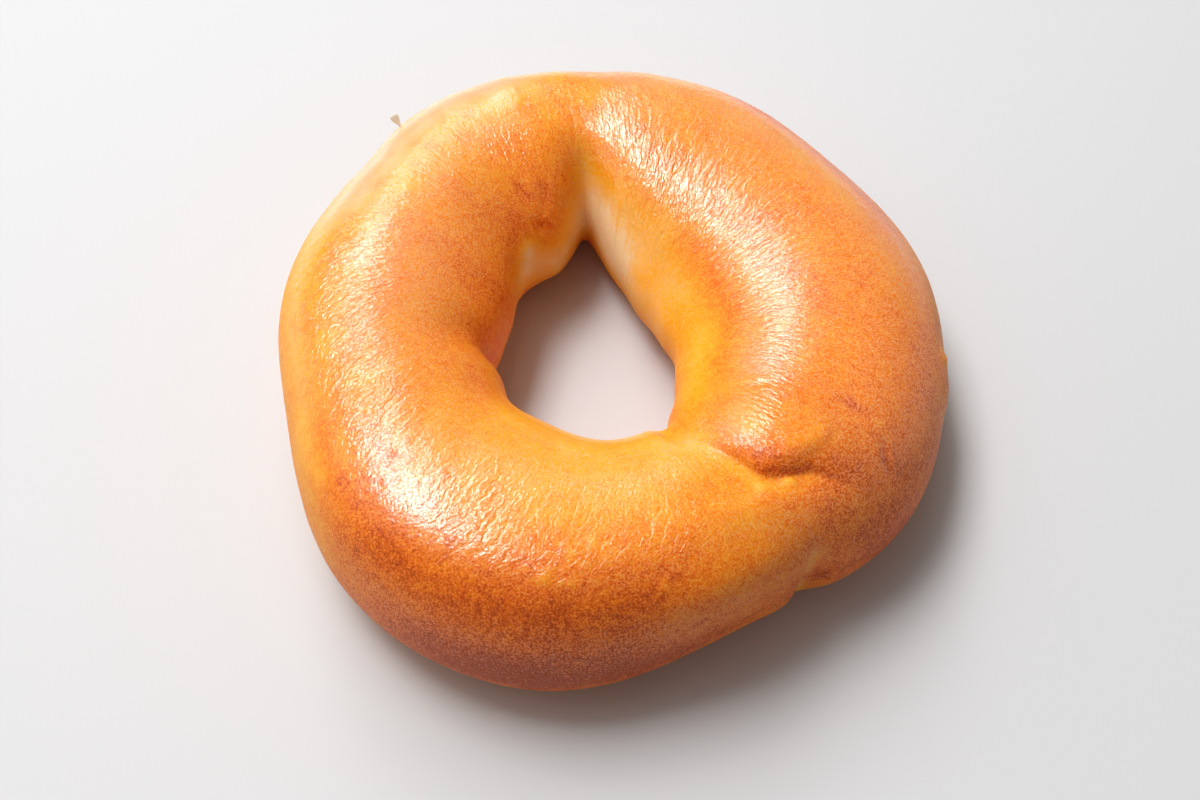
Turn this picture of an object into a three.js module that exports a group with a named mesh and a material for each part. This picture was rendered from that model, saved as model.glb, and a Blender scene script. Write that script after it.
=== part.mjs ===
// A bagel: one closed body of bread, millimetres, +Z up.
//
// A rope of dough is rolled, bent round into a ring and its two ends are
// pressed together, so the ring is uneven: the hole is a rounded triangle that
// runs to a point where the rope is pinched, one end of the rope laps over the
// other as a rounded lip, and the rope is broader on one side than the other.
//
// Every point of the crust has two ring coordinates:
//   t  degrees round the ring, from +X towards +Y
//   f  degrees round the rope, 0 on the outside, 90 on top, 180 in the hole,
//      270 underneath
// The plan of the ring and its height follow from t, the section of the rope
// from f, and the swells and folds of the dough lie at a place (t, f).

import * as THREE from "three";

// ---------------------------------------------------------------- sizes (mm)

const CRUST = { colour: 0xc9792f, roughness: 0.38, metalness: 0.0 };

// Facets of the closed skin: round the ring, round the rope.
const STEPS_ROUND_RING = 120;
const STEPS_ROUND_ROPE = 36;

// Where the ring's axis stands from the middle of the whole outline.
const RING_AXIS = { x: -2.8, y: 0.3 };

// Each plan radius is a mean with waves: a wave has `lobes` crests round the
// ring, stands `size` mm high, and has a crest `towards` this many degrees.
const OUTSIDE = {
  mean: 52.84,
  waves: [
    { lobes: 1, size: 2.0, towards: -1.8 },
    { lobes: 2, size: 1.8, towards: 76.3 },
    { lobes: 3, size: 1.51, towards: 0.2 },
    { lobes: 4, size: 1.03, towards: -21.3 },
    { lobes: 5, size: 0.49, towards: -31.5 },
    { lobes: 6, size: 0.26, towards: 10.5 },
    { lobes: 7, size: 0.65, towards: 15.9 },
  ],
};

const HOLE = {
  mean: 15.59,
  waves: [
    { lobes: 1, size: 1.82, towards: -136.6 },
    { lobes: 2, size: 3.63, towards: -77.5 },
    { lobes: 3, size: 0.84, towards: -13.0 },
    { lobes: 4, size: 0.56, towards: 14.5 },
    { lobes: 5, size: 0.42, towards: 15.1 },
    { lobes: 6, size: 0.22, towards: -13.3 },
    { lobes: 7, size: 0.17, towards: -25.4 },
    { lobes: 8, size: 0.29, towards: -3.1 },
  ],
  // Corners of the hole: at `t`, half as wide as `reach` degrees, `size` mm deep.
  corners: [
    { name: "pinched point", t: 93.0, reach: 8.4, size: 5.7 },
    { name: "left corner", t: 196.0, reach: 12.7, size: 3.5 },
    { name: "corner under the lip", t: -58.3, reach: 4.8, size: 1.3 },
  ],
};

// The rope is a little higher on the side where it is narrower.
const TOP = {
  mean: 28.2,
  waves: [{ lobes: 1, size: 1.55, towards: 194.9 }],
};

// Section of the rope.
const WIDEST_AT = 0.445; // of the height
const FLANK_FULLNESS = 0.92; // 1 is a plain ellipse, less is squarer
const CROWN_FULLNESS = 0.96;
const CROWN_OUT = 2.7; // mm that the crown stands further out than the middle
const BASE_FULLNESS = 0.87;
const FLATTENED = 0.07; // how much of the lower half the baking sheet flattened

// Swells (+) and folds (-) of the dough: centre (t, f), half widths in
// degrees, how far t drifts for each degree of f, and height in mm.
const SWELLS_AND_FOLDS = [
  { name: "pinch, shallow on top", t: 92, f: 120, wide: 6, long: 20, drift: 0, size: 0.6 },
  { name: "pinch valley, hole side", t: 92, f: 152, wide: 7, long: 30, drift: 0, size: -0.4 },
  { name: "pinch root", t: 93, f: 208, wide: 3.0, long: 30, drift: 0, size: -2.2 },
  { name: "left end swell", t: 113, f: 148, wide: 13, long: 30, drift: 0, size: 0.7 },
  { name: "right end swell", t: 74, f: 112, wide: 13, long: 34, drift: 0, size: 0.6 },
  { name: "lip swell", t: -44, f: 92, wide: 9, long: 26, drift: 0.1, size: 0.5 },
  { name: "corner tuck", t: -63, f: 137, wide: 3.8, long: 20, drift: 0, size: -1.7 },
  { name: "side tuck", t: -52.8, f: -8, wide: 3.0, long: 28, drift: 0, size: -1.9 },
  { name: "pinch dip", t: 91, f: 68, wide: 6, long: 24, drift: 0, size: -0.7 },
  { name: "right end brow", t: 81, f: 58, wide: 5, long: 22, drift: 0, size: 0.25 },
  { name: "left end brow", t: 108, f: 66, wide: 6, long: 24, drift: 0, size: 0.5 },
  { name: "back left dent", t: 141, f: 44, wide: 6, long: 24, drift: 0, size: -0.5 },
  { name: "brow swell", t: -72, f: 60, wide: 10, long: 30, drift: 0, size: 0.5 },
  { name: "shoulder dent", t: -30, f: 78, wide: 7, long: 10, drift: 0, size: -0.3 },
  { name: "right lobe wall", t: 42, f: 150, wide: 46, long: 24, drift: 0, size: -1.9 },
  { name: "front brow by the lip", t: -68, f: 32, wide: 13, long: 22, drift: 0, size: 2.3 },
  { name: "right edge swell", t: -9.5, f: 10, wide: 4.5, long: 20, drift: 0, size: 0.6 },
  { name: "front left shoulder", t: -130, f: 44, wide: 20, long: 20, drift: 0, size: 0.7 },
];

// Where one end of the rope laps over the other. The seam crosses the rope at
// `t`, leans by `slope` degrees of t for each degree of f, and steps aside by
// twice `jog` near f = `jogAt`. The lower end sinks `sink` mm towards the seam
// over `sinkOver` mm. Past the seam the lap rises over `nose` mm to `height` mm
// and fades over `fade` mm more. The lap is strongest at f = `middle` and is gone
// about `reach` degrees from there, and so it is for the sink.
const LAPS = [
  {
    name: "lip",
    t: -49.8, slope: -0.18, jog: 3.0, jogAt: 78, jogOver: 4,
    height: 1.3, nose: 5.2, fade: 13, sink: 1.3, sinkOver: 7,
    middle: 98, reach: 28, sinkMiddle: 82, sinkReach: 20,
  },
  {
    name: "pinch",
    t: 95.4, slope: -0.07, jog: 0, jogAt: 158, jogOver: 4,
    height: 0.4, nose: 4.4, fade: 9, sink: 0.1, sinkOver: 2,
    middle: 160, reach: 24, sinkMiddle: 160, sinkReach: 24,
  },
];
const ROPE_RADIUS = 17; // how far a degree of f goes along a seam, as a radius

// ------------------------------------------------------------------ geometry

const radians = (degrees) => (degrees * Math.PI) / 180;
const bell = (x) => Math.exp(-x * x);
const turn = (degrees) => ((((degrees + 180) % 360) + 360) % 360) - 180;
const power = (x, exponent) => Math.sign(x) * Math.abs(x) ** exponent;

function waved({ mean, waves, corners = [] }, t) {
  let radius = mean;
  for (const { lobes, size, towards } of waves) {
    radius += size * Math.cos(lobes * radians(t - towards));
  }
  for (const corner of corners) {
    radius += corner.size * bell(turn(t - corner.t) / corner.reach);
  }
  return radius;
}

function swellAt(t, f) {
  let swell = 0;
  for (const part of SWELLS_AND_FOLDS) {
    const along = turn(f - part.f);
    const across = turn(t - part.t - part.drift * along);
    swell += part.size * bell(across / part.wide) * bell(along / part.long);
  }
  return swell;
}

function lapAt(lap, t, f) {
  const along = turn(f - lap.jogAt);
  const step = Math.tanh(along / lap.jogOver);
  const seam = lap.t - lap.jog * step + lap.slope * along;
  const lean = lap.slope - (lap.jog / lap.jogOver) * (1 - step * step);
  const radius = 34.5 + 18 * Math.cos(radians(f));
  const across = radians(turn(t - seam)) * radius; // mm round the ring
  const off = across / Math.hypot(1, (lean * radius) / ROPE_RADIUS); // square to the seam
  const rise = Math.min(Math.max(off / lap.nose, 0), 1);
  const roundNose = Math.sqrt(1 - (1 - rise) ** 2);
  const past = Math.max(across - lap.nose, 0);
  const high = lap.height * bell(turn(f - lap.middle) / lap.reach);
  const low = lap.sink * bell(turn(f - lap.sinkMiddle) / lap.sinkReach);
  return off > 0
    ? ((high + low) * roundNose - low) * bell(past / lap.fade)
    : -low * bell(across / lap.sinkOver);
}

function crustPoint(t, f) {
  const outside = waved(OUTSIDE, t);
  const hole = waved(HOLE, t);
  const top = waved(TOP, t);
  const middle = (outside + hole) / 2;
  const halfWidth = (outside - hole) / 2;
  const widest = WIDEST_AT * top;

  const c = Math.cos(radians(f));
  const s = Math.sin(radians(f));
  let radius = middle + halfWidth * power(c, FLANK_FULLNESS);
  radius += CROWN_OUT * Math.max(s, 0) ** 3;
  let z =
    s > 0
      ? widest + (top - widest) * power(s, CROWN_FULLNESS)
      : widest + widest * (1 + FLATTENED) * power(s, BASE_FULLNESS);

  // A swell pushes the crust out along the rope's own normal.
  let swell = swellAt(t, f);
  for (const lap of LAPS) swell += lapAt(lap, t, f);
  const steep = Math.hypot((c * top) / 2, s * halfWidth);
  radius += (swell * c * top) / 2 / steep;
  z += (swell * s * halfWidth) / steep;

  return new THREE.Vector3(
    RING_AXIS.x + radius * Math.cos(radians(t)),
    RING_AXIS.y + radius * Math.sin(radians(t)),
    Math.max(z, 0), // the underside lies flat
  );
}

function crustGeometry() {
  const position = [];
  for (let i = 0; i < STEPS_ROUND_RING; i += 1) {
    for (let j = 0; j < STEPS_ROUND_ROPE; j += 1) {
      const point = crustPoint((360 * i) / STEPS_ROUND_RING, (360 * j) / STEPS_ROUND_ROPE);
      position.push(point.x, point.y, point.z);
    }
  }
  const index = [];
  const at = (i, j) =>
    (i % STEPS_ROUND_RING) * STEPS_ROUND_ROPE + (j % STEPS_ROUND_ROPE);
  for (let i = 0; i < STEPS_ROUND_RING; i += 1) {
    for (let j = 0; j < STEPS_ROUND_ROPE; j += 1) {
      const a = at(i, j);
      const b = at(i + 1, j);
      const c = at(i + 1, j + 1);
      const d = at(i, j + 1);
      index.push(a, b, c, a, c, d);
    }
  }
  const geometry = new THREE.BufferGeometry();
  geometry.setAttribute("position", new THREE.Float32BufferAttribute(position, 3));
  geometry.setIndex(index);

  // The origin is under the middle of the outline.
  geometry.computeBoundingBox();
  const middle = geometry.boundingBox.getCenter(new THREE.Vector3());
  geometry.translate(-middle.x, -middle.y, 0);
  geometry.computeVertexNormals();
  return geometry;
}

// --------------------------------------------------------------------- model

const bagel = new THREE.Mesh(
  crustGeometry(),
  new THREE.MeshStandardMaterial({
    color: CRUST.colour,
    roughness: CRUST.roughness,
    metalness: CRUST.metalness,
  }),
);
bagel.name = "bagel";

const group = new THREE.Group();
group.add(bagel);

export default group;
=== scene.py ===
import math

import bpy
import numpy as np
from mathutils import Matrix


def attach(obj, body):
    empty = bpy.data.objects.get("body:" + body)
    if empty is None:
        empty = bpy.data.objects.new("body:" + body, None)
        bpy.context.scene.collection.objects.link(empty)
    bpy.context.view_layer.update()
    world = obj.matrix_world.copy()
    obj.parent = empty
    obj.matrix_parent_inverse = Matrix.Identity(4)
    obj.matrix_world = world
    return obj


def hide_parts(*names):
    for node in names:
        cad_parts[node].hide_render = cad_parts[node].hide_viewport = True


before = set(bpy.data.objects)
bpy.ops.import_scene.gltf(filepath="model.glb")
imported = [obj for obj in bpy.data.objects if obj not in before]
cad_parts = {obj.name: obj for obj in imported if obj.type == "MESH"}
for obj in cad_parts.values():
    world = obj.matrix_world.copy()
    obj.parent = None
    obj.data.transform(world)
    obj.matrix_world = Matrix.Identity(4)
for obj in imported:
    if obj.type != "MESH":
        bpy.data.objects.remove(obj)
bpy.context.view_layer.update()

MM = 0.001

# --------------------------------------------------------------------- sizes
# The ring has two coordinates, as the CAD part has: t is degrees round the
# ring from +X towards +Y, and f is degrees round the rope, 0 outside, 90 on
# top, 180 in the hole and 270 underneath. Sizes are millimetres.

RING_AXIS = (-2.8, 0.3)
CAD_STEPS = (120, 36)

# mean radius, then (lobes, size, towards)
OUTSIDE = (
    52.84,
    ((1, 2.0, -1.8), (2, 1.8, 76.3), (3, 1.51, 0.2), (4, 1.03, -21.3),
     (5, 0.49, -31.5), (6, 0.26, 10.5), (7, 0.65, 15.9)),
)
HOLE = (
    15.59,
    ((1, 1.82, -136.6), (2, 3.63, -77.5), (3, 0.84, -13.0), (4, 0.56, 14.5),
     (5, 0.42, 15.1), (6, 0.22, -13.3), (7, 0.17, -25.4), (8, 0.29, -3.1)),
)
# t, reach, size
HOLE_CORNERS = ((93.0, 8.4, 5.7), (196.0, 12.7, 3.5), (-58.3, 4.8, 1.3))
TOP = (28.2, ((1, 1.55, 194.9),))

WIDEST_AT = 0.445
FLANK_FULLNESS = 0.92
CROWN_FULLNESS = 0.96
CROWN_OUT = 2.7  # mm that the crown stands further out than the rope's middle
BASE_FULLNESS = 0.87
FLATTENED = 0.07

# t, f, wide, long, drift, size
SWELLS_AND_FOLDS = {
    "pinch, shallow on top": (92, 120, 6, 20, 0, 0.6),
    "pinch valley, hole side": (92, 152, 7, 30, 0, -0.4),
    "pinch root": (93, 208, 3.0, 30, 0, -2.2),
    "left end swell": (113, 148, 13, 30, 0, 0.7),
    "right end swell": (74, 112, 13, 34, 0, 0.6),
    "lip swell": (-44, 92, 9, 26, 0.1, 0.5),
    "corner tuck": (-63, 137, 3.8, 20, 0, -1.7),
    "side tuck": (-52.8, -8, 3.0, 28, 0, -1.9),
    "pinch dip": (91, 68, 6, 24, 0, -0.7),
    "right end brow": (81, 58, 5, 22, 0, 0.25),
    "left end brow": (108, 66, 6, 24, 0, 0.5),
    "back left dent": (141, 44, 6, 24, 0, -0.5),
    "brow swell": (-72, 60, 10, 30, 0, 0.5),
    "shoulder dent": (-30, 78, 7, 10, 0, -0.3),
    "right lobe wall": (42, 150, 46, 24, 0, -1.9),
    "front brow by the lip": (-68, 32, 13, 22, 0, 2.3),
    "right edge swell": (-9.5, 10, 4.5, 20, 0, 0.6),
    "front left shoulder": (-130, 44, 20, 20, 0, 0.7),
}

# Where one end of the rope laps over the other. Across the rope a seam leans
# by `slope` degrees of t for each degree of f and steps aside by twice `jog`
# near f = jog_at. The lower end sinks `sink` mm towards the seam over
# `sink_over` mm; past the seam the lap rises over `nose` mm to `height` mm and
# fades over `fade` mm more. Both have a middle and a reach in degrees of f.
LAPS = {
    "lip": dict(
        t=-49.8, slope=-0.18, jog=3.0, jog_at=78.0, jog_over=4.0,
        height=1.3, nose=5.2, fade=13.0, sink=1.3, sink_over=7.0,
        middle=98.0, reach=28.0, sink_middle=82.0, sink_reach=20.0,
    ),
    "pinch": dict(
        t=95.4, slope=-0.07, jog=0.0, jog_at=158.0, jog_over=4.0,
        height=0.4, nose=4.4, fade=9.0, sink=0.1, sink_over=2.0,
        middle=160.0, reach=24.0, sink_middle=160.0, sink_reach=24.0,
    ),
}
ROPE_RADIUS = 17.0


# --------------------------------------------------------------- small maths
def bell(x):
    return np.exp(-np.square(x))


def turn(degrees):
    return (degrees + 180.0) % 360.0 - 180.0


def power(x, exponent):
    return np.sign(x) * np.abs(x) ** exponent


def smooth(x, low, high):
    u = np.clip((x - low) / (high - low), 0.0, 1.0)
    return u * u * (3.0 - 2.0 * u)


def lattice(ix, iy, iz, seed):
    """Three numbers from -1 to 1 for each lattice point."""
    m = np.uint64(0xFFFFFFFF)
    h = (
        ix.astype(np.uint64) * np.uint64(374761393)
        + iy.astype(np.uint64) * np.uint64(668265263)
        + iz.astype(np.uint64) * np.uint64(2246822519)
        + np.uint64(seed * 3266489917 % (1 << 32))
    ) & m
    out = []
    for k in (1, 2, 3):
        h = ((h ^ (h >> np.uint64(15))) * np.uint64(2246822519 + 2 * k)) & m
        h = ((h ^ (h >> np.uint64(13))) * np.uint64(3266489917)) & m
        h = (h ^ (h >> np.uint64(16))) & m
        out.append(h.astype(np.float64) / 2147483647.5 - 1.0)
    return out


def noise(x, y, z=None, seed=0, period=None):
    """Gradient noise, about -1 to 1. `period` closes it along x."""
    if z is None:
        z = np.zeros_like(x)
    fx, fy, fz = np.floor(x), np.floor(y), np.floor(z)
    x, y, z = x - fx, y - fy, z - fz
    fx, fy, fz = (a.astype(np.int64) for a in (fx, fy, fz))
    u, v, w = (a * a * a * (a * (a * 6 - 15) + 10) for a in (x, y, z))
    total = 0.0
    for i in (0, 1):
        cx = fx + i
        if period:
            cx = cx % period
        for j in (0, 1):
            for k in (0, 1):
                g = lattice(cx + 4096, fy + j + 4096, fz + k + 4096, seed)
                dot = g[0] * (x - i) + g[1] * (y - j) + g[2] * (z - k)
                weight = (
                    (u if i else 1 - u) * (v if j else 1 - v) * (w if k else 1 - w)
                )
                total = total + weight * dot
    return total * 1.5


def waved(radius, t):
    total = np.full_like(t, radius[0])
    for lobes, size, towards in radius[1]:
        total = total + size * np.cos(lobes * np.radians(t - towards))
    return total


# ----------------------------------------------------------------- base form
def swell_at(t, f):
    swell = np.zeros_like(t)
    for at_t, at_f, wide, long, drift, size in SWELLS_AND_FOLDS.values():
        along = turn(f - at_f)
        across = turn(t - at_t - drift * along)
        swell = swell + size * bell(across / wide) * bell(along / long)
    return swell


def lap_at(name, t, f):
    """Height of a lap in mm, and the distance from its seam in mm."""
    lap = LAPS[name]
    g = turn(f - lap["jog_at"])
    step = np.tanh(g / lap["jog_over"])
    seam = lap["t"] - lap["jog"] * step + lap["slope"] * g
    lean = lap["slope"] - lap["jog"] / lap["jog_over"] * (1 - step**2)
    radius = 34.5 + 18.0 * np.cos(np.radians(f))
    wide = np.radians(turn(t - seam)) * radius
    off = wide / np.hypot(1.0, lean * radius / ROPE_RADIUS)
    rise = np.clip(off / lap["nose"], 0, 1)
    round_nose = np.sqrt(1 - (1 - rise) ** 2)
    past = np.maximum(wide - lap["nose"], 0)
    high = lap["height"] * bell(turn(f - lap["middle"]) / lap["reach"])
    low = lap["sink"] * bell(turn(f - lap["sink_middle"]) / lap["sink_reach"])
    height = np.where(
        off > 0,
        ((high + low) * round_nose - low) * bell(past / lap["fade"]),
        -low * bell(wide / lap["sink_over"]),
    )
    return height, off


def crust(t, f, soft=0.0):
    """Points of the smooth crust. `soft` rounds the edge of the flat underside."""
    outside = waved(OUTSIDE, t)
    hole = waved(HOLE, t)
    for at_t, reach, size in HOLE_CORNERS:
        hole = hole + size * bell(turn(t - at_t) / reach)
    top = waved(TOP, t)
    middle, half = (outside + hole) / 2, (outside - hole) / 2
    widest = WIDEST_AT * top
    c, s = np.cos(np.radians(f)), np.sin(np.radians(f))
    radius = middle + half * power(c, FLANK_FULLNESS)
    radius = radius + CROWN_OUT * np.maximum(s, 0) ** 3
    z = np.where(
        s > 0,
        widest + (top - widest) * power(s, CROWN_FULLNESS),
        widest + widest * (1 + FLATTENED) * power(s, BASE_FULLNESS),
    )
    swell = swell_at(t, f) + lap_at("lip", t, f)[0] + lap_at("pinch", t, f)[0]
    steep = np.hypot(c * top / 2, s * half)
    radius = radius + swell * c * top / 2 / steep
    z = z + swell * s * half / steep
    z = 0.5 * (z + np.hypot(z, soft)) if soft else np.maximum(z, 0)
    x = RING_AXIS[0] + radius * np.cos(np.radians(t))
    y = RING_AXIS[1] + radius * np.sin(np.radians(t))
    return np.stack([x, y, z], -1)


def cad_middle():
    """The middle of the CAD outline, which the part's origin is under."""
    t, f = np.meshgrid(
        np.arange(CAD_STEPS[0]) * 360.0 / CAD_STEPS[0],
        np.arange(CAD_STEPS[1]) * 360.0 / CAD_STEPS[1],
    )
    p = crust(t, f).reshape(-1, 3)
    return (p.max(0) + p.min(0)) / 2 * np.array([1, 1, 0])


MIDDLE = cad_middle()


def spread(count, density):
    """`count` angles round the circle, closer together where density is high."""
    a = np.linspace(0, 360, 7201)
    d = density(a)
    total = np.concatenate([[0], np.cumsum((d[1:] + d[:-1]) / 2)])
    return np.interp(np.arange(count) * total[-1] / count, total, a)


# ----------------------------------------------------------------- fine form
COLUMNS, ROWS = 536, 180


def ring_density(t):
    return 1.0 + 0.75 * bell(turn(t + 52) / 20) + 0.35 * bell(turn(t - 93) / 14)


def rope_density(f):
    return 0.5 + 0.5 * smooth(np.abs(turn(f - 92)), 125, 95)


t_line = spread(COLUMNS, ring_density)
f_line = spread(ROWS, rope_density)
T, F = np.meshgrid(t_line, f_line, indexing="ij")
BASE = crust(T, F, soft=0.5) - MIDDLE
BASE[..., 2] -= BASE[..., 2].min()


def normals(p):
    du = np.roll(p, -1, 0) - np.roll(p, 1, 0)
    dv = np.roll(p, -1, 1) - np.roll(p, 1, 1)
    n = np.cross(du, dv)
    return n / (np.linalg.norm(n, axis=-1, keepdims=True) + 1e-12)


NORMAL = normals(BASE)


def spot(t, f, wide, long, lean=0.0):
    """A soft patch on the crust, 1 in its middle. Sizes are in degrees."""
    along = turn(F - f)
    return bell(turn(T - t - lean * along) / wide) * bell(along / long)


def spot_mm(t, f):
    """Distance in mm from a place on the crust."""
    at = crust(np.array([float(t)]), np.array([float(f)]), soft=0.5)[0] - MIDDLE
    return np.linalg.norm(BASE - at, axis=-1)


def band(t0, t1, edge, f, long, lean=0.0):
    """A soft strip from t0 to t1 along the rope, centred on f."""
    half = turn(t1 - t0) % 360 / 2
    along = turn(F - f)
    off = np.abs(turn(T - t0 - half - lean * along))
    return smooth(off, half + edge, half - edge) * bell(along / long)


def path_frame(points, steps=14):
    """Signed distance in mm from a line on the crust through (t, f) points,
    positive on its left, and how far along it each vertex is, from 0 to 1."""
    points = np.array(points, float)
    knots = np.arange(len(points))
    fine = np.linspace(0, len(points) - 1, (len(points) - 1) * steps + 1)
    smoothed = []
    for k in (0, 1):
        v = points[:, k]
        m = np.gradient(v)
        i = np.minimum(fine.astype(int), len(points) - 2)
        s = fine - knots[i]
        smoothed.append(
            (2 * s**3 - 3 * s**2 + 1) * v[i]
            + (s**3 - 2 * s**2 + s) * m[i]
            + (3 * s**2 - 2 * s**3) * v[i + 1]
            + (s**3 - s**2) * m[i + 1]
        )
    line = crust(smoothed[0], smoothed[1], soft=0.5) - MIDDLE
    p = BASE.reshape(-1, 3)
    n = NORMAL.reshape(-1, 3)
    best = np.full(len(p), 1e9)
    side = np.zeros(len(p))
    where = np.zeros(len(p))
    last = len(line) - 1
    for i in range(last):
        a, b = line[i], line[i + 1]
        ab = b - a
        s = np.clip(((p - a) @ ab) / (ab @ ab), 0, 1)
        off = p - a - s[:, None] * ab
        d = np.linalg.norm(off, axis=1)
        nearer = d < best
        best[nearer] = d[nearer]
        left = np.einsum("ij,ij->i", np.cross(n, ab), off)
        side[nearer] = np.sign(left[nearer])
        where[nearer] = (i + s[nearer]) / last
    return (best * side).reshape(T.shape), where.reshape(T.shape)


def ends(where, start, stop):
    """1 along a line, easing to 0 within `start` and `stop` of its ends."""
    return smooth(where, 0.0, start) * smooth(where, 1.0, 1.0 - stop)


TUCK = ((-51.6, 40), (-53.0, 28), (-54.0, 12), (-53.9, -6), (-53.6, -20), (-53.8, -36))

tuck_off, tuck_at = path_frame(TUCK)



def seam_distance(name, f0, f1):
    """Distance in mm from a lap's seam, positive on the lap."""
    lap = LAPS[name]
    f = np.linspace(f0, f1, 17)
    g = f - lap["jog_at"]
    t = lap["t"] - lap["jog"] * np.tanh(g / lap["jog_over"]) + lap["slope"] * g
    away = path_frame(np.stack([t, f], -1), steps=4)[0]
    return np.abs(away) * np.sign(lap_at(name, T, F)[1])


lip_off = seam_distance("lip", 50, 146)
pinch_off = seam_distance("pinch", 120, 220)
lip_open = bell(turn(F - 88) / 32)
pinch_open = bell(turn(F - 170) / 26)

relief = np.zeros_like(T)  # mm, outwards

# the lap's crease
relief -= 0.32 * bell(turn(F - 79) / 15) * bell(lip_off / 0.6)
# pinch: a fine line where the two ends meet
relief -= 0.06 * pinch_open * bell(pinch_off / 0.6)
# tuck on the side, under the lip
relief -= 0.5 * ends(tuck_at, 0.3, 0.2) * bell(tuck_off / 0.8)

# soft lumps just below the lip's crease
relief += 0.35 * spot(-42.0, 80.0, 4.5, 7)
relief += 0.22 * (bell(spot_mm(-54.6, 86.0) / 1.2) + bell(spot_mm(-50.2, 76.5) / 1.3))

# the dough's slow unevenness
P = BASE
relief += 0.09 * noise(P[..., 0] / 13, P[..., 1] / 13, P[..., 2] / 13, seed=3)
relief += 0.045 * noise(P[..., 0] / 4.6, P[..., 1] / 4.6, P[..., 2] / 4.6, seed=4)

# wrinkles across the rope: crepe-like ridges 1 to 2.5 mm apart
lean = (
    0.47 * bell(turn(T - 187) / 38)
    + 0.27 * bell(turn(T - 38) / 48)
    - 0.36 * bell(turn(T + 92) / 32)
)
across = 0.31 * turn(F - 90)  # mm over the crown


def wrinkles(step, stretch, seed):
    """Ridges about `step` degrees apart round the ring, closed round it."""
    cells = int(round(360 / step))
    wobble = 0.55 * noise(T / 9 * 1.0, across / 5, seed=seed + 50, period=40)
    u = (T + 1.45 * lean * across) / 360 * cells + wobble
    n = noise(u, across / stretch, seed=seed, period=cells)
    return 1.0 - 2.2 * np.sqrt(n * n + 0.012)


crepe_mask = np.clip(
    0.15
    + 0.95 * band(163, 226, 12, 70, 24)
    + 0.42 * band(-32, 84, 12, 118, 19)
    + 0.30 * band(14, 80, 14, 120, 19)
    + 0.45 * band(-10, 76, 12, 138, 16)
    + 0.36 * band(78, 100, 6, 104, 24)
    + 0.45 * band(-128, -66, 10, 78, 22)
    + 0.40 * band(100, 150, 12, 108, 14)
    + 0.35 * band(96, 130, 8, 145, 22)
    + 0.26 * band(-52, -30, 6, 104, 20)
    + 0.26 * band(-60, -44, 4, 100, 20)
    + 0.30 * band(-50, 84, 10, 62, 26)
    - 0.38 * spot(-129, 82, 11, 14),
    0, 1,
)
relief += 0.050 * crepe_mask * wrinkles(3.1, 4.2, 11)
relief += 0.016 * crepe_mask * wrinkles(2.1, 2.8, 12)

# creases along the rope on the outer shoulder
long_u = F / 7.5 + 0.5 * noise(T / 14, F / 18, seed=61)
relief += 0.045 * band(-18, 76, 12, 50, 20) * noise(T / 26, long_u, seed=62)


def crease(points, depth, width, start=0.25, stop=0.25, rim=0.0):
    """A fine fold along a line on the crust, with a low rim on its left."""
    off, where = path_frame(points, steps=8)
    shape = -depth * bell(off / width)
    if rim:
        shape = shape + rim * bell((off - 1.6 * width) / (1.2 * width))
    return ends(where, start, stop) * shape


KINK = ((-39.5, 119), (-35, 109), (-30.5, 99.5), (-27.5, 88))
SHOULDER_FOLD = ((-27.6, 87), (-29.4, 80), (-29.4, 71), (-28.0, 62))
CHEEK_FOLD = ((-31.2, 59), (-34.2, 49), (-35.2, 37))
END_FOLDS = (
    ((118, 126), (117.2, 134), (116.2, 141)),
    ((115.8, 149), (114.2, 154), (112.6, 160)),
    ((109.5, 132), (108.4, 140), (108.8, 148)),
)
relief += crease(KINK, 0.11, 0.7, 0.2, 0.3, 0.04)
relief += crease(SHOULDER_FOLD, 0.28, 0.5, 0.3, 0.4, 0.12)
relief += crease(CHEEK_FOLD, 0.30, 0.6, 0.3, 0.4, 0.12)
for fold in END_FOLDS:
    relief += crease(fold, 0.34, 0.8, 0.35, 0.35, 0.18)
# fibres of the pale dough beside the pinch
relief += 0.06 * band(62, 92, 7, 158, 24) * noise(T / 1.7, F / 46, seed=71)
relief += crease(((107.6, 93), (105.4, 88)), 0.16, 0.5, 0.3, 0.3, 0.06)


# pits (-) and blisters (+) in the crust: t, f, radius and height in mm
PITS = (
    (-131.2, 86.0, 0.75, -0.22), (-130.0, 81.5, 0.6, -0.16), (-127.5, 77.0, 0.7, -0.16),
    (-129.5, 71.0, 0.8, -0.14), (-80.2, 84.2, 0.6, -0.22), (36.2, 67.5, 0.75, -0.22),
    (34.6, 65.6, 0.6, -0.18), (-33.0, 34.0, 0.8, -0.20), (146.8, 91.0, 1.2, 0.14),
    (-97.5, 63.5, 0.8, 0.22), (-93.5, 61.5, 0.7, 0.22), (-79.0, 49.2, 0.7, 0.20),
    (-93.5, 76.2, 0.6, 0.16), (-90.0, 82.0, 0.6, 0.16), (-6.0, 21.0, 1.2, 0.5),
    (109.0, 61.0, 1.3, 0.14), (119.5, 60.0, 2.2, 0.26), (123.6, 57.0, 1.2, 0.12),
    (136.5, 55.0, 1.8, 0.28), (140.5, 50.0, 1.1, 0.22), (124.0, 163.0, 1.5, 0.25),
    (-55.2, 92.0, 0.9, 0.22), (-50.8, 75.0, 0.8, 0.16), (-56.2, 81.0, 0.7, 0.16),
)
for at_t, at_f, radius, size in PITS:
    relief += size * bell(spot_mm(at_t, at_f) / radius)

BAGEL = BASE + relief[..., None] * NORMAL
BAGEL[..., 2] = np.maximum(BAGEL[..., 2], 0)

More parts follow.
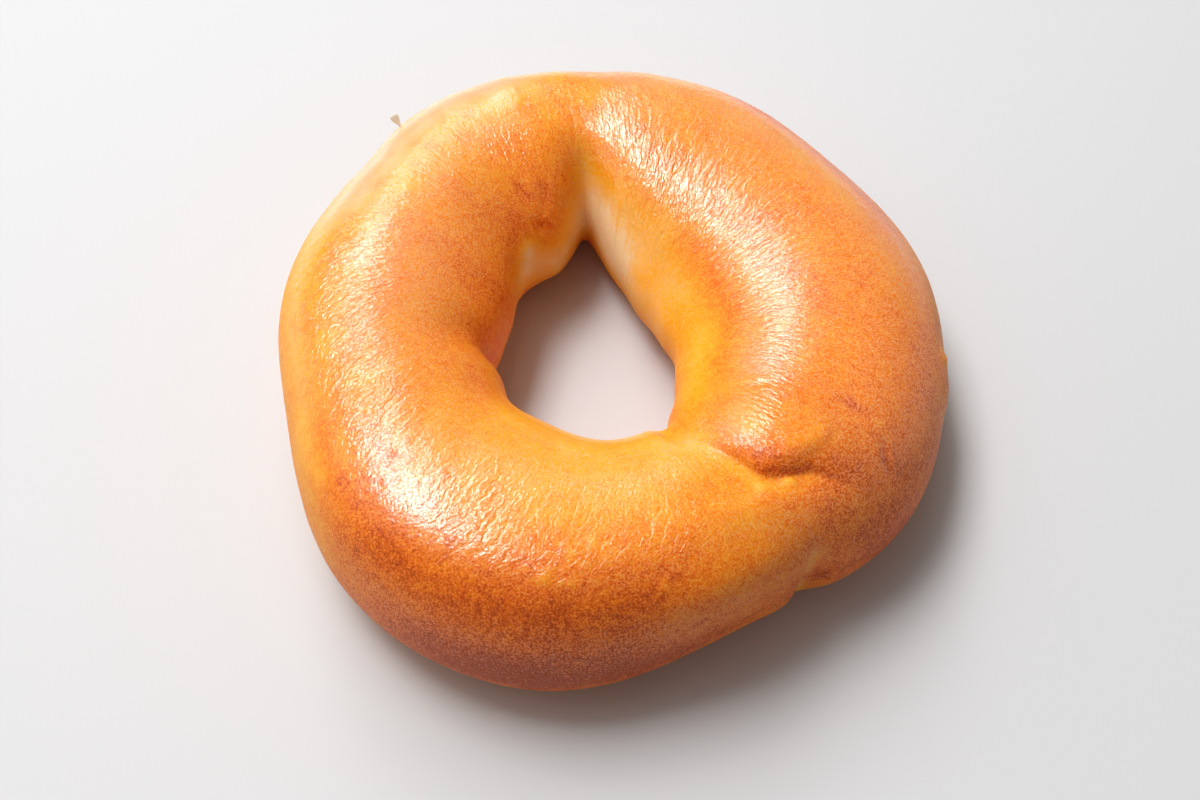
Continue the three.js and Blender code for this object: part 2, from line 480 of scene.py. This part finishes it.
# ------------------------------------------------------------------- browning, painted shade and painted light
# The browning level runs from 0, pale dough, to 1, dark crust, and also holds painted shade
# (creases, pits, the low front, under the lip) and painted light (the hole's hollows, the
# pinch valley). The pale level is pale dough on the back-left rim and the tuck, and elsewhere
# a painted pinkish sheen and painted highlight haze.
browning_and_painted_light = np.full_like(T, 0.53)
browning_and_painted_light -= 0.19 * band(-47, 66, 12, 148, 20)  # golden wall of the right lobe
browning_and_painted_light -= 0.05 * band(28, 80, 10, 152, 22)
# the hollow by the pinch and the low wall of the right lobe: pale dough, made paler still as
# painted light
browning_and_painted_light -= 0.50 * spot(80, 168, 17, 26)  # pale hollow by the pinch
browning_and_painted_light -= 0.20 * spot(92, 168, 7, 24)
browning_and_painted_light -= 0.28 * spot(26, 179, 40, 15)
browning_and_painted_light += 0.05 * band(-40, 50, 14, 84, 14)
browning_and_painted_light -= 0.10 * band(12, 84, 12, 56, 22)
browning_and_painted_light += 0.17 * spot(-26, 42, 26, 30)  # brown cheek on the right
browning_and_painted_light += 0.20 * spot(-38, 8, 20, 26)
browning_and_painted_light -= 0.20 * band(166, 222, 12, 50, 24)  # golden flank of the left lobe
browning_and_painted_light -= 0.42 * band(98, 164, 14, 60, 22)  # pale rim at the back left
browning_and_painted_light -= 0.10 * band(104, 150, 12, 88, 18)
browning_and_painted_light += 0.14 * band(106, 206, 9, 152, 24)  # browned wall of the left lobe
browning_and_painted_light -= 0.10 * band(-136, -62, 12, 116, 26)  # pale inner side of the front
browning_and_painted_light -= 0.16 * band(-122, -66, 14, 146, 22)
browning_and_painted_light += 0.27 * band(-142, -72, 12, 45, 22)  # dark shoulder of the front
# darker low on the front flank: browner crust and painted shade
browning_and_painted_light += 0.34 * spot(-98, 6, 26, 20)
browning_and_painted_light += 0.26 * spot(-94, -6, 32, 14)
browning_and_painted_light += 0.08 * spot(-108, 14, 20, 14)
browning_and_painted_light += 0.07 * spot(-42, 66, 9, 26)
browning_and_painted_light -= 0.09 * spot(-140, 26, 10, 24)
browning_and_painted_light -= 0.06 * spot(76, 146, 14, 24)
fibres = noise(T / 1.7, F / 46, seed=71) + 0.5 * noise(T / 0.9, F / 30, seed=72)
browning_and_painted_light += 0.13 * band(66, 92, 7, 160, 26) * fibres
browning_and_painted_light -= 0.07 * spot(-176, 140, 12, 20)
browning_and_painted_light += 0.12 * spot(172, 72, 9, 7)
browning_and_painted_light += 0.06 * band(-30, 86, 8, 108, 11) + 0.08 * spot(-128, 78, 14, 13)
# the saturated strip below the glossy top of the left and front lobes
browning_and_painted_light += 0.10 * spot(-168, 62, 13, 6) + 0.10 * spot(-149, 71, 5, 8)
browning_and_painted_light += 0.14 * spot(-138, 56, 10, 7) + 0.08 * spot(-122, 50, 12, 8)
browning_and_painted_light += 0.14 * spot(-34, -10, 16, 14)
browning_and_painted_light += 0.09 * spot(-165, 52, 14, 14) + 0.12 * spot(-147, 55, 7, 10)
browning_and_painted_light -= 0.07 * spot(-137, 58, 6, 10) + 0.05 * spot(-134, 50, 5, 8)
# paler down the pinch valley: painted light against the valley's shade
browning_and_painted_light -= 0.06 * spot(89, 148, 4, 14) + 0.13 * spot(94, 122, 4, 24)
browning_and_painted_light += 0.07 * spot(110, 67, 7, 8)
browning_and_painted_light -= 0.06 * spot(152, 64, 9, 10) + 0.12 * spot(-60, 121, 6, 14)
browning_and_painted_light += 0.17 * band(-40, 44, 8, 133, 9) + 0.28 * band(18, 66, 8, 46, 9)
# the second spot darkens the face under the lip: browner crust and painted shade
browning_and_painted_light += 0.10 * spot(-140, 140, 12, 12) + 0.09 * spot(-49.5, 91, 4, 7)
browning_and_painted_light -= 0.06 * spot(-129, 49, 5, 7)
# paler at the lip's jog: painted light against the shade of its hollow
browning_and_painted_light -= 0.10 * spot(-45, 76, 4, 9)
browning_and_painted_light -= 0.08 * spot(-68, 110, 7, 14) + 0.05 * spot(-92, 106, 24, 16)
browning_and_painted_light -= 0.07 * spot(116, 128, 7, 14)
browning_and_painted_light += 0.04 * spot(-90, 80, 12, 8) + 0.04 * spot(20, 48, 16, 8)
browning_and_painted_light -= 0.14 * bell(spot_mm(124.0, 163.0) / 1.6)
browning_and_painted_light += 0.06 * spot(20, 46, 26, 14)
browning_and_painted_light -= 0.08 * spot(-50, 104, 7, 14)
# a pale strip down the side tuck
tuck_pale = ends(tuck_at, 0.3, 0.1) * bell((tuck_off - 0.3) / 1.0)
browning_and_painted_light -= 0.24 * tuck_pale
browning_and_painted_light += 0.08 * spot(-56, 0, 22, 10)
# paler on the front shoulder beside the lip: painted light
browning_and_painted_light -= 0.08 * spot(-72, 42, 15, 18)
browning_and_painted_light += 0.08 * spot(-62, 34, 12, 26)
browning_and_painted_light += 0.10 * spot(98, 138, 5, 16)  # the left end, browned to the seam
browning_and_painted_light += 0.10 * spot(94, 114, 5, 20)
browning_and_painted_light += 0.08 * spot(110, 120, 9, 18)
browning_and_painted_light -= 0.07 * spot(-124, 50, 14, 14)
browning_and_painted_light -= 0.09 * spot(-28, 36, 13, 12)
browning_and_painted_light -= 0.50 * spot(126, 173, 14, 16)  # pale dough under the left end
browning_and_painted_light -= 0.30 * spot(106, 186, 10, 20)
browning_and_painted_light += 0.05 * spot(114, 136, 8, 14)
browning_and_painted_light += 0.06 * spot(107, 91, 4, 4)
browning_and_painted_light -= 0.10 * spot(58, 186, 30, 12)
browning_and_painted_light += 0.12 * smooth(np.abs(turn(F - 270)), 60, 30)  # the baked underside
# the steep face under the lip, browner and darker as partly painted shade, and the pale rim
# below its crease, paler dough and a painted highlight
lip_face_brown_and_shade = bell(turn(F - 90) / 27) * smooth(lip_off, -0.4, 0.6) * smooth(lip_off, 4.6, 1.8)
browning_and_painted_light += 0.22 * lip_face_brown_and_shade
# paler just past the lip's end: painted light against its shade
browning_and_painted_light -= 0.06 * spot(-40, 84, 8, 6)
# darker in the lip's crease: painted shade
browning_and_painted_light += 0.10 * bell(turn(F - 92) / 26) * bell(lip_off / 0.8)
browning_and_painted_light -= 0.08 * bell(turn(F - 82) / 16) * bell((lip_off + 1.4) / 1.2)
browning_and_painted_light -= 0.14 * bell(turn(F - 126) / 18) * bell(lip_off / 1.6)
# darker along the kink and the folds: painted shade in the creases
browning_and_painted_light += 0.06 * crease(KINK, -1.0, 0.8, 0.2, 0.3)
for fold in END_FOLDS:
    browning_and_painted_light += 0.09 * crease(fold, -1.0, 1.2, 0.35, 0.35)
browning_and_painted_light += 0.17 * crease(SHOULDER_FOLD, -1.0, 0.8, 0.3, 0.5)
browning_and_painted_light += 0.15 * crease(CHEEK_FOLD, -1.0, 1.0, 0.4, 0.5)
# pits darker, painted shade in their hollows; blisters paler
for at_t, at_f, radius, size in PITS:
    browning_and_painted_light -= (0.16 if size > 0 else -0.06) * bell(spot_mm(at_t, at_f) / (radius * 1.1))
browning_and_painted_light += 0.16 * bell(spot_mm(-32.0, 37.0) / 2.2)
# orange patches on the pale rim at the back left
browning_and_painted_light += 0.20 * band(98, 166, 12, 82, 14) * smooth(
    noise(P[..., 0] / 3.4, P[..., 1] / 3.4, P[..., 2] / 3.4, seed=23), -0.1, 0.45
)
browning_and_painted_light += 0.07 * noise(P[..., 0] / 7, P[..., 1] / 7, P[..., 2] / 7, seed=21)
browning_and_painted_light += 0.05 * noise(P[..., 0] / 2.8, P[..., 1] / 2.8, P[..., 2] / 2.8, seed=22)

sheen_and_pale = np.full_like(T, 0.01)
# painted sheen on the outer side of the right lobe
sheen_and_pale += 0.28 * band(8, 84, 14, 50, 20)
sheen_and_pale += 0.21 * band(-26, 40, 14, 38, 26)
sheen_and_pale += 0.10 * band(-40, 84, 14, 80, 18)
sheen_and_pale += 0.24 * band(100, 166, 14, 58, 20)
# painted sheen low on the front
sheen_and_pale += 0.14 * band(-128, -68, 12, 18, 18)
# painted highlight haze over the top of the left and front lobes
sheen_and_pale += 0.10 * band(150, 290, 14, 112, 18)
sheen_and_pale += 0.12 * band(126, 196, 12, 112, 16)
sheen_and_pale += 0.14 * spot(-34, 44, 14, 20)
sheen_and_pale += 0.10 * spot(-64, 42, 16, 22)
sheen_and_pale += 0.24 * tuck_pale
# painted highlight haze on the lip's top
sheen_and_pale += 0.22 * spot(-49, 108, 7, 9)
sheen_and_pale += 0.30 * band(104, 162, 10, 68, 14)
# more pale rim, and a band of painted highlight haze on the back-left top
sheen_and_pale += 0.12 * band(104, 160, 10, 76, 14) + 0.12 * band(106, 146, 8, 99, 9)
sheen_and_pale += 0.14 * spot(82, 74, 10, 8) + 0.14 * spot(55, 70, 12, 8)
# spots of painted highlight haze along the lobes' tops; those near f 70 at the back are paler
# dough
sheen_and_pale += 0.10 * spot(120, 95, 8, 8) + 0.12 * spot(-163, 97, 9, 7)
sheen_and_pale += 0.08 * spot(-66, 122, 8, 14) + 0.12 * spot(-28, 114, 7, 8)
sheen_and_pale += 0.16 * spot(86, 71, 10, 7) + 0.14 * spot(110, 67, 7, 8) + 0.12 * spot(-27, 119, 10, 6)
sheen_and_pale += 0.12 * spot(-60, 120, 6, 14) + 0.14 * spot(-30, 109, 4, 8)
sheen_and_pale -= 0.08 * band(18, 66, 8, 46, 9)
sheen_and_pale = np.clip(sheen_and_pale, 0, 1)

over = turn(F - 99)
gloss = 0.04 + 0.96 * smooth(np.where(over > 0, over * 1.14, -over), 66, 34)
gloss *= 1.0 - 0.2 * sheen_and_pale
gloss *= 1.0 - 0.80 * band(88.4, 109, 2.2, 101, 26) - 0.20 * spot(130, 92, 18, 16)
gloss *= 1.0 - 0.40 * spot(80, 86, 8, 8) - 0.14 * spot(-6, 104, 14, 14)
gloss *= 1.0 - 0.50 * spot(-84, 92, 17, 18) - 0.30 * spot(-132, 81, 10, 13)
gloss *= 1.0 - 0.48 * spot(-111, 79, 9, 11) - 0.30 * spot(166, 80, 8, 8)
gloss *= 1.0 - 0.50 * band(-40, 50, 8, 133, 9) - 0.45 * spot(-49.5, 91, 5, 8)
gloss *= 1.0 - 0.75 * spot(-54, 143, 10, 15) - 0.40 * spot(-82, 128, 20, 16)
gloss *= 1.0 - 0.20 * spot(-100, 70, 8, 8) - 0.25 * spot(-141, 80, 5, 10)
gloss *= 1.0 - 0.25 * spot(-148, 61, 7, 7) - 0.30 * spot(-180, 61, 6, 6)
gloss *= 1.0 - 0.50 * spot(90, 94, 4, 8) - 0.28 * band(-12, 84, 6, 95, 5)
gloss *= 1.0 - 0.30 * spot(165, 80, 8, 8)
gloss *= 1.0 - 0.50 * band(-150, -58, 8, 51, 9) - 0.18 * spot(-130, 81, 9, 12)
gloss *= 1.0 - 0.12 * spot(-48, 100, 9, 12) - 0.10 * band(-20, 50, 10, 106, 14)
gloss *= 1.0 - 0.25 * spot(-52, 100, 5, 20) - 0.20 * spot(-45, 100, 6, 14)
gloss *= 1.0 - 0.50 * spot(-147, 85, 5.5, 20) - 0.68 * band(-104, -62, 8, 84, 26)
gloss *= 1.0 - 0.42 * band(-184, -153, 3, 86, 18)
gloss *= 1.0 - 0.64 * band(102, 162, 10, 88, 17)
# where the colour stays saturated: less painted sheen and fewer painted glint flecks
clear = np.clip(
    0.8 * band(-150, -60, 8, 47, 13) + 0.8 * band(-50, 86, 8, 137, 13)
    + 0.7 * band(-180, -150, 5, 62, 7) + 0.6 * spot(172, 70, 8, 8)
    + 0.6 * band(96, 124, 5, 132, 18) + 0.6 * spot(-143, 58, 9, 9) + 0.5 * spot(-180, 62, 7, 6)
    + 0.4 * band(-146, -106, 8, 59, 7), 0, 0.85
)
sheen_and_pale *= 1.0 - clear
gloss *= 1.0 - 0.95 * lip_open * smooth(lip_off, -5.0, -2.0) * smooth(lip_off, 3.4, 1.6)
speckle = np.clip((browning_and_painted_light - 0.10) / 0.60, 0.30, 1.0) * (1 - 0.35 * sheen_and_pale)

# the crust's own grain space, in mm: round the ring, and stretched over the rope
GRAIN_RADIUS = 45.0
grain_t = np.radians(T + 1.45 * lean * across)
grain_space = np.stack(
    [GRAIN_RADIUS * np.cos(grain_t), GRAIN_RADIUS * np.sin(grain_t),
     0.31 * ((F + 90) % 360)], -1
)
# fine wrinkles that follow the lip's edge
ring_mask = smooth(lip_off, 2.0, 4.0) * smooth(lip_off, 12.0, 7.0) * bell(turn(F - 103) / 17)

# ----------------------------------------------------------------------- mesh
def build_mesh(name, points, attributes):
    nt, nf = points.shape[:2]
    mesh = bpy.data.meshes.new(name)
    index = np.arange(nt * nf).reshape(nt, nf)
    a = index
    b = np.roll(index, -1, 0)
    c = np.roll(b, -1, 1)
    d = np.roll(index, -1, 1)
    quads = np.stack([a, b, c, d], -1).reshape(-1, 4)
    mesh.vertices.add(nt * nf)
    mesh.vertices.foreach_set("co", (points.reshape(-1, 3) * MM).astype(np.float32).ravel())
    mesh.loops.add(quads.size)
    mesh.loops.foreach_set("vertex_index", quads.astype(np.int32).ravel())
    mesh.polygons.add(len(quads))
    mesh.polygons.foreach_set("loop_start", np.arange(0, quads.size, 4, dtype=np.int32))
    mesh.polygons.foreach_set("use_smooth", np.ones(len(quads), bool))
    # the skin is laid out as two strips, each half of the ring
    i = np.repeat(np.arange(nt), nf)
    j = np.tile(np.arange(nf), nt)
    half = nt // 2
    strip = i // half
    corners = []
    for di, dj in ((0, 0), (1, 0), (1, 1), (0, 1)):
        u = (i - strip * half + di) / half
        v = ((j + nf // 4) % nf + dj) / nf
        corners.append(np.stack([0.006 + 0.988 * u, 0.006 + (v * 0.482 + strip * 0.5)], -1))
    uv = mesh.uv_layers.new(name="OFBake")
    uv.data.foreach_set("uv", np.stack(corners, 1).astype(np.float32).ravel())
    for key, values in attributes.items():
        if values.ndim == 3:
            attribute = mesh.attributes.new(key, "FLOAT_VECTOR", "POINT")
            attribute.data.foreach_set("vector", values.astype(np.float32).ravel())
        else:
            attribute = mesh.attributes.new(key, "FLOAT", "POINT")
            attribute.data.foreach_set("value", values.astype(np.float32).ravel())
    mesh.update()
    mesh.validate()
    obj = bpy.data.objects.new(name, mesh)
    bpy.context.scene.collection.objects.link(obj)
    return obj


bagel = build_mesh(
    "crust_skin",
    BAGEL,
    {
        "browning_and_painted_light": browning_and_painted_light, "sheen_and_pale": sheen_and_pale, "gloss": gloss, "speckle": speckle,
        "painted_sheen": 1.3 * (1 - 0.8 * clear),
        "crepe": crepe_mask, "rings": ring_mask, "lip_off": np.clip(lip_off, -20, 20),
        "grain_space": grain_space,
    },
)

# a wisp of dough on the back left rim: a thin stem that widens to a flat head
WISP_AT = (131.6, 52.0)
WISP = (  # mm along it, half width, half thickness
    (-0.35, 0.18, 0.15), (0.0, 0.17, 0.14), (0.4, 0.25, 0.15), (0.85, 0.42, 0.18),
    (1.3, 0.60, 0.22), (1.7, 0.68, 0.24), (2.02, 0.60, 0.20), (2.22, 0.36, 0.14),
    (2.28, 0.02, 0.02),
)


def wisp_points(rounds=16):
    root = crust(np.array([WISP_AT[0]]), np.array([WISP_AT[1]]), soft=0.5)[0] - MIDDLE
    along = np.array([-0.58, 0.44, 0.66])
    along /= np.linalg.norm(along)
    wide = np.cross(along, (0.0, -0.57, 0.82))
    wide /= np.linalg.norm(wide)
    thick = np.cross(wide, along)
    rows = []
    for at, half, thin in WISP:
        a = np.arange(rounds) * 2 * math.pi / rounds
        ragged = 1 + 0.10 * np.cos(3 * a + at * 4) + 0.06 * np.cos(5 * a - at * 7)
        bend = 0.10 * at * at / 2
        rows.append(
            root + along * at + thick * bend
            + (half * ragged * np.cos(a))[:, None] * wide
            + (thin * ragged * np.sin(a))[:, None] * thick
        )
    return np.array(rows)


def build_wisp(name):
    rows = wisp_points()
    nr, na = rows.shape[:2]
    faces = [
        (i * na + j, i * na + (j + 1) % na, (i + 1) * na + (j + 1) % na, (i + 1) * na + j)
        for i in range(nr - 1)
        for j in range(na)
    ]
    faces.append(tuple(range(na))[::-1])
    faces.append(tuple((nr - 1) * na + j for j in range(na)))
    mesh = bpy.data.meshes.new(name)
    mesh.from_pydata((rows.reshape(-1, 3) * MM).tolist(), [], faces)
    mesh.polygons.foreach_set("use_smooth", np.ones(len(faces), bool))
    mesh.update()
    obj = bpy.data.objects.new(name, mesh)
    bpy.context.scene.collection.objects.link(obj)
    return obj


wisp = build_wisp("dough_wisp")

# ------------------------------------------------------------------- material
class Nodes:
    def __init__(self, material):
        material.use_nodes = True
        self.tree = material.node_tree
        self.tree.nodes.clear()

    def add(self, kind, inputs=(), **settings):
        node = self.tree.nodes.new(kind)
        for key, value in settings.items():
            setattr(node, key, value)
        for key, value in dict(inputs).items():
            if isinstance(value, bpy.types.NodeSocket):
                self.tree.links.new(value, node.inputs[key])
            else:
                node.inputs[key].default_value = value
        return node

    def math(self, operation, *values, clamp=False):
        node = self.add("ShaderNodeMath", dict(enumerate(values)), operation=operation)
        node.use_clamp = clamp
        return node.outputs[0]


crust_material = bpy.data.materials.new("baked_crust")
k = Nodes(crust_material)
place = k.add("ShaderNodeTexCoord").outputs["Object"]


def grain(scale, detail, rough=0.5, vector=None, distortion=0.0):
    return k.add(
        "ShaderNodeTexNoise",
        {"Vector": vector or place, "Scale": scale, "Detail": detail,
         "Roughness": rough, "Distortion": distortion},
    ).outputs["Fac"]


def read(name, output="Fac"):
    return k.add("ShaderNodeAttribute", attribute_name=name).outputs[output]


browning_and_painted_light_in, sheen_and_pale_in, gloss_in = read("browning_and_painted_light"), read("sheen_and_pale"), read("gloss")
speckle_in, crepe_in, painted_sheen_in = read("speckle"), read("crepe"), read("painted_sheen")
rings_in, lip_off_in = read("rings"), read("lip_off")
space = read("grain_space", "Vector")

# grain of the crust: 0.4 mm speckle and 1 mm mottle
fine, mid = grain(3300, 1.5, 0.6), grain(900, 2.0)
speck = k.math("SUBTRACT", fine, 0.5)
patch = k.math("SUBTRACT", mid, 0.5)
mottle = k.math("MULTIPLY_ADD", patch, 0.45, k.math("MULTIPLY", speck, 0.85))
b = k.math("MULTIPLY_ADD", mottle, speckle_in, browning_and_painted_light_in)
ramp = k.add("ShaderNodeValToRGB", {"Fac": b})
stops = (
    (0.0, (0.94, 0.69, 0.37)),
    (0.16, (0.94, 0.51, 0.13)),
    (0.36, (0.93, 0.39, 0.010)),
    (0.54, (0.88, 0.265, 0.006)),
    (0.72, (0.80, 0.160, 0.003)),
    (0.88, (0.56, 0.085, 0.003)),
    (1.0, (0.42, 0.058, 0.006)),
)
while len(ramp.color_ramp.elements) < len(stops):
    ramp.color_ramp.elements.new(0.5)
for element, (at, colour) in zip(ramp.color_ramp.elements, stops):
    element.position = at
    element.color = (*colour, 1)
# pale flecks and a pinkish tint mixed into the colour, down to the pinkish colour below:
# painted glints and painted sheen over the browning
pale_and_glint_flecks = k.math("MULTIPLY", speck, painted_sheen_in)
pale_and_glint_flecks = k.math("SUBTRACT", sheen_and_pale_in, pale_and_glint_flecks, clamp=True)
painted_sheen = k.add("ShaderNodeMix", {"Factor": pale_and_glint_flecks}, data_type="RGBA")
painted_sheen.inputs[6].default_value = (0, 0, 0, 1)
k.tree.links.new(ramp.outputs["Color"], painted_sheen.inputs[6])
painted_sheen.inputs[7].default_value = (0.82, 0.42, 0.29, 1)

# fine wrinkles: smooth plates 2 mm across, longer over the rope, with thin gaps
# between them, and fine rings round the lip's end
shake = k.add(
    "ShaderNodeTexNoise", {"Vector": space, "Scale": 0.9, "Detail": 1.0}
).outputs["Color"]
shake = k.add(
    "ShaderNodeVectorMath", {0: shake, 1: (1.7, 1.7, 1.7)}, operation="MULTIPLY"
).outputs[0]
plate_space = k.add(
    "ShaderNodeVectorMath", {0: space, 1: (1.0, 1.0, 0.42)}, operation="MULTIPLY"
).outputs[0]
plate_space = k.add(
    "ShaderNodeVectorMath", {0: plate_space, 1: shake}, operation="ADD"
).outputs[0]


def plates(scale, gap):
    """0 in the gaps between plates and 1 on them."""
    edge = k.add(
        "ShaderNodeTexVoronoi", {"Vector": plate_space, "Scale": scale},
        feature="DISTANCE_TO_EDGE",
    ).outputs["Distance"]
    return k.add(
        "ShaderNodeMapRange", {"Value": edge, "From Max": gap},
        interpolation_type="SMOOTHSTEP",
    ).outputs["Result"]


ridges = k.math("MULTIPLY_ADD", plates(1.1, 0.30), 0.35, plates(0.50, 0.24))
ridges = k.math("MULTIPLY", ridges, k.math("MULTIPLY", crepe_in, 0.000095))
wobble = k.math("MULTIPLY_ADD", mid, 7.0, k.math("MULTIPLY", lip_off_in, 7.0))
wobble = k.math("MULTIPLY_ADD", grain(260, 1.0), 9.0, wobble)
rings = k.math("MULTIPLY", k.math("SINE", wobble), k.math("MULTIPLY", rings_in, 0.000035))
height = k.math("ADD", rings, ridges)
pimple = k.math("MULTIPLY_ADD", speckle_in, 0.00005, 0.000004)
height = k.math("MULTIPLY_ADD", fine, pimple, height)
height = k.math("MULTIPLY_ADD", mid, 0.000045, height)
bump = k.add("ShaderNodeBump", {"Height": height, "Strength": 0.8, "Distance": 1.0})
rough = k.math("MULTIPLY_ADD", gloss_in, -0.20, 0.52)
rough = k.math("MULTIPLY_ADD", patch, 0.12, rough)
sheen = k.math("MULTIPLY_ADD", speck, -2.4, 1.0)
coat = k.math("MULTIPLY", gloss_in, sheen, clamp=True)
shader = k.add(
    "ShaderNodeBsdfPrincipled",
    {
        "Base Color": painted_sheen.outputs[2],
        "Roughness": rough,
        "Normal": bump.outputs["Normal"],
        "IOR": 1.4,
        "Specular IOR Level": 0.25,
        "Subsurface Weight": 0.4,
        "Subsurface Radius": (1.0, 0.42, 0.14),
        "Subsurface Scale": 0.004,
        "Coat Weight": coat,
        "Coat Roughness": 0.09,
        "Coat IOR": 1.72,
        "Coat Normal": bump.outputs["Normal"],
    },
)
out = k.add("ShaderNodeOutputMaterial", {"Surface": shader.outputs[0]})
bagel.data.materials.append(crust_material)

wisp_material = bpy.data.materials.new("dry_dough")
kw = Nodes(wisp_material)
wisp_shader = kw.add(
    "ShaderNodeBsdfPrincipled",
    {"Base Color": (0.88, 0.80, 0.66, 1), "Roughness": 0.6},
)
kw.add("ShaderNodeOutputMaterial", {"Surface": wisp_shader.outputs[0]})
wisp.data.materials.append(wisp_material)
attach(wisp, "root")

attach(bagel, "root")
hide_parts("bagel")

# ---------------------------------------------------------------------- stage
floor_mesh = bpy.data.meshes.new("floor")
s = 2.5
floor_mesh.from_pydata([(-s, -s, 0), (s, -s, 0), (s, s, 0), (-s, s, 0)], [], [(0, 1, 2, 3)])
floor = bpy.data.objects.new("floor", floor_mesh)
floor.location.z = -0.0001
bpy.context.scene.collection.objects.link(floor)
floor_material = bpy.data.materials.new("floor_paint")
kf = Nodes(floor_material)
floor_shader = kf.add(
    "ShaderNodeBsdfPrincipled", {"Base Color": (0.62, 0.62, 0.625, 1), "Roughness": 0.7}
)
kf.add("ShaderNodeOutputMaterial", {"Surface": floor_shader.outputs[0]})
floor_mesh.materials.append(floor_material)

world = bpy.data.worlds.new("studio")
bpy.context.scene.world = world
world.use_nodes = True
world.node_tree.nodes["Background"].inputs["Color"].default_value = (1.0, 0.98, 0.96, 1)
world.node_tree.nodes["Background"].inputs["Strength"].default_value = 0.19


KEY_TOWARDS = np.array([-0.37, 0.32, 0.87])
KEY_DISTANCE = 1.0


def soft_box(name, left, right, low, high, radiance):
    """A soft light on the plane square to KEY_TOWARDS. The four edges are in
    metres from the middle of that plane."""
    light = bpy.data.lights.new(name, "AREA")
    light.shape = "RECTANGLE"
    light.size, light.size_y = right - left, high - low
    light.energy = radiance * math.pi * light.size * light.size_y
    obj = bpy.data.objects.new(name, light)
    back = KEY_TOWARDS / np.linalg.norm(KEY_TOWARDS)
    side = np.cross((0, 1, 0), back)
    side /= np.linalg.norm(side)
    up = np.cross(back, side)
    at = back * KEY_DISTANCE + side * (left + right) / 2 + up * (low + high) / 2
    matrix = np.eye(4)
    matrix[:3, 0], matrix[:3, 1], matrix[:3, 2], matrix[:3, 3] = side, up, back, at
    obj.matrix_world = Matrix(matrix.tolist())
    bpy.context.scene.collection.objects.link(obj)
    return obj


soft_box("key", -0.10, 0.22, -0.38, 0.12, 14.8)
soft_box("key_upper", -0.02, 0.26, 0.12, 0.76, 8.0)
soft_box("key_spread", -0.42, 0.50, -0.66, 1.10, 0.9)
fill = soft_box("fill", -0.5, 0.5, -0.4, 0.4, 0.8)
fill.matrix_world = Matrix(
    ((0, 0.34, -0.94, -1.3), (-1, 0, 0, 0.05), (0, 0.94, 0.34, 0.62), (0, 0, 0, 1))
)

camera_data = bpy.data.cameras.new("camera")
camera_data.lens = 45.0
camera_data.sensor_width = 36.0
camera_data.sensor_fit = "HORIZONTAL"
camera_data.clip_start, camera_data.clip_end = 0.01, 10
camera = bpy.data.objects.new("camera", camera_data)
axis = np.array([*RING_AXIS, 0]) - MIDDLE
camera.location = ((axis[0] + 1.0) * MM, (axis[1] - 139.5) * MM, 0.200)
camera.rotation_euler = (math.radians(90 - 55.3), 0, 0)
bpy.context.scene.collection.objects.link(camera)
bpy.context.scene.camera = camera
bpy.context.scene.view_settings.view_transform = "Standard"
